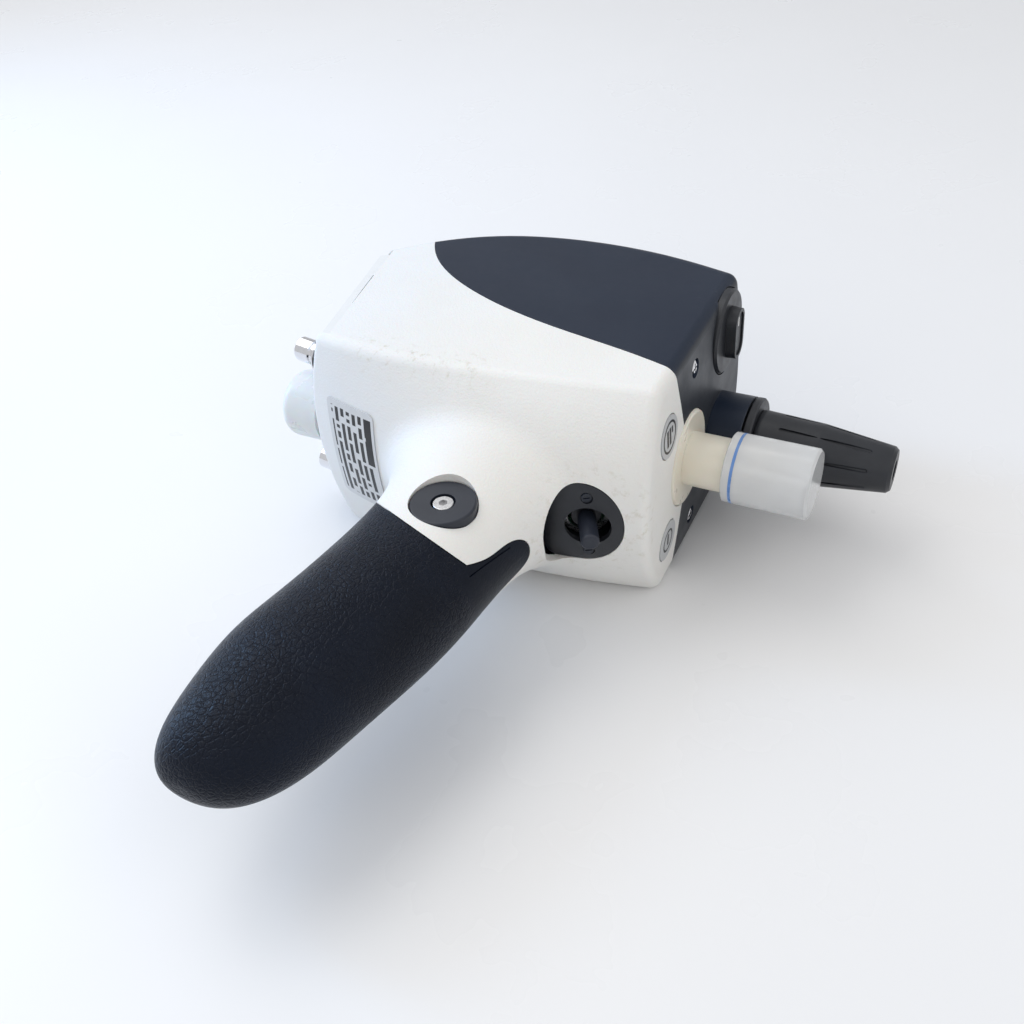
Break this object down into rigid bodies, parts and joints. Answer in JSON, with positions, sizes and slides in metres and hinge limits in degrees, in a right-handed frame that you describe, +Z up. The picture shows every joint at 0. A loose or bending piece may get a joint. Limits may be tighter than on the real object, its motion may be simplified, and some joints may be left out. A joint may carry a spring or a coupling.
{
  "type": "laser scanner handpiece",
  "caption": "Pistol-grip medical laser scanner handpiece with a capped input tube, guide pins, joystick, keys, rotary knob and cable outlet.",
  "frame": {"origin": "centre of the input tube's flange, on its front face", "axes": "+X out along the input tube, +Y away from the handle, +Z up, square to the mid-plane of the shells"},
  "size_m": [0.2147, 0.2481, 0.084],
  "materials": {
    "white_shell": "fine pebbled matte",
    "black_shell": "satin with a fine grain",
    "grip": "leather-grained satin",
    "core": "cast, bead blasted",
    "ivory": "smooth satin",
    "nose": "fine matte",
    "clear": "clear, slightly milky",
    "milky": "translucent white",
    "blue": "gloss",
    "steel": "machined",
    "chrome": "polished",
    "alloy": "machined",
    "anodised": "black anodised, matte",
    "label": "brushed silver film",
    "black": "satin moulded",
    "rubber": "matte soft",
    "glass": "coated optical",
    "mirror": "gold coated",
    "brass": "turned",
    "board": "solder resist",
    "grey_plastic": "fine matte"
  },
  "bodies": {
    "housing": {"white_shell": "white_shell", "black_shell": "black_shell", "shell_screws": "steel", "nose_plate": "nose", "guide_pins": "chrome", "front_bracket": "alloy", "exit_tube": "ivory", "exit_window": "glass", "window_retainer": "anodised", "nameplate": "label", "input_tube": "ivory", "input_lens": "glass", "lens_retainer": "anodised", "flange_gasket": "rubber", "flange_nut": "alloy", "outlet_socket": "black", "socket_contacts": "brass", "rotary_switch": "grey_plastic", "key_board": "board", "key_switches": "black", "joystick_bezel": "black", "bezel_screws": "steel", "joystick_housing": "black", "joystick_board": "board", "optical_bench": "alloy", "bench_screws": "steel", "scan_motor_1": "anodised", "motor_clamp_1": "alloy", "scan_motor_2": "anodised", "motor_clamp_2": "alloy", "circuit_board": "board", "board_components": "black", "standoffs": "brass", "handle_skin": "grip", "handle_core": "core", "clamp_discs": "anodised", "clamp_screw": "steel", "clamp_nut": "steel"},
    "clear_cap": {"clear_cap": "clear", "cap_ring": "blue"},
    "nozzle_cap": {"nozzle_cap": "milky"},
    "plug": {"cable_sleeve": "black", "plug_contacts": "brass"},
    "collar": {"cable_collar": "black"},
    "knob": {"selector_knob": "black"},
    "ready_key": {"ready_key": "grey_plastic"},
    "standby_key": {"standby_key": "grey_plastic"},
    "stick_ring": {"gimbal_ring": "steel"},
    "stick_carrier": {"stick_carrier": "black"},
    "stick": {"joystick_stick": "rubber"},
    "scan_rotor_1": {"scan_rotor_1": "steel", "scan_mirror_1": "mirror"},
    "scan_rotor_2": {"scan_rotor_2": "steel", "scan_mirror_2": "mirror"}
  },
  "joints": [
    {"name": "input_cap_slide", "type": "slide", "parent": "housing", "child": "clear_cap", "axis": [1, 0, 0], "range_m": [0, 0.035]},
    {"name": "nozzle_cap_slide", "type": "slide", "parent": "housing", "child": "nozzle_cap", "axis": [-1, 0, 0], "range_m": [0, 0.025]},
    {"name": "plug_slide", "type": "slide", "parent": "housing", "child": "plug", "axis": [1, 0, 0], "range_m": [0, 0.025]},
    {"name": "collar_turn", "type": "hinge", "parent": "plug", "child": "collar", "pos_m": [0.0136, 0.0315, -0.0115], "axis": [1, 0, 0], "range_deg": [0, 60]},
    {"name": "knob_turn", "type": "hinge", "parent": "housing", "child": "knob", "pos_m": [0, 0.0405, 0.0263], "axis": [1, 0, 0], "range_deg": [0, 90]},
    {"name": "ready_key_press", "type": "slide", "parent": "housing", "child": "ready_key", "axis": [-1, 0, 0], "range_m": [0, 0.0005], "stiffness_N_per_m": 1500},
    {"name": "standby_key_press", "type": "slide", "parent": "housing", "child": "standby_key", "axis": [-1, 0, 0], "range_m": [0, 0.0005], "stiffness_N_per_m": 1500},
    {"name": "stick_side_tilt", "type": "hinge", "parent": "housing", "child": "stick_ring", "pos_m": [-0.0223, -0.03845, 0], "axis": [0.8829, 0.4695, 0], "range_deg": [-12, 12], "stiffness_Nm_per_rad": 0.03},
    {"name": "stick_long_tilt", "type": "hinge", "parent": "stick_ring", "child": "stick_carrier", "pos_m": [-0.0223, -0.03845, 0], "axis": [0, 0, 1], "range_deg": [-12, 12], "stiffness_Nm_per_rad": 0.03},
    {"name": "stick_press", "type": "slide", "parent": "stick_carrier", "child": "stick", "axis": [-0.4695, 0.8829, 0], "range_m": [0, 0.0008], "stiffness_N_per_m": 1500},
    {"name": "scan_1_turn", "type": "hinge", "parent": "housing", "child": "scan_rotor_1", "pos_m": [-0.078, 0, 0], "axis": [0.7071, 0.7071, 0], "range_deg": [-12, 12]},
    {"name": "scan_2_turn", "type": "hinge", "parent": "housing", "child": "scan_rotor_2", "pos_m": [-0.078, -0.0164, 0], "axis": [0, 0, 1], "range_deg": [-12, 12]}
  ]
}
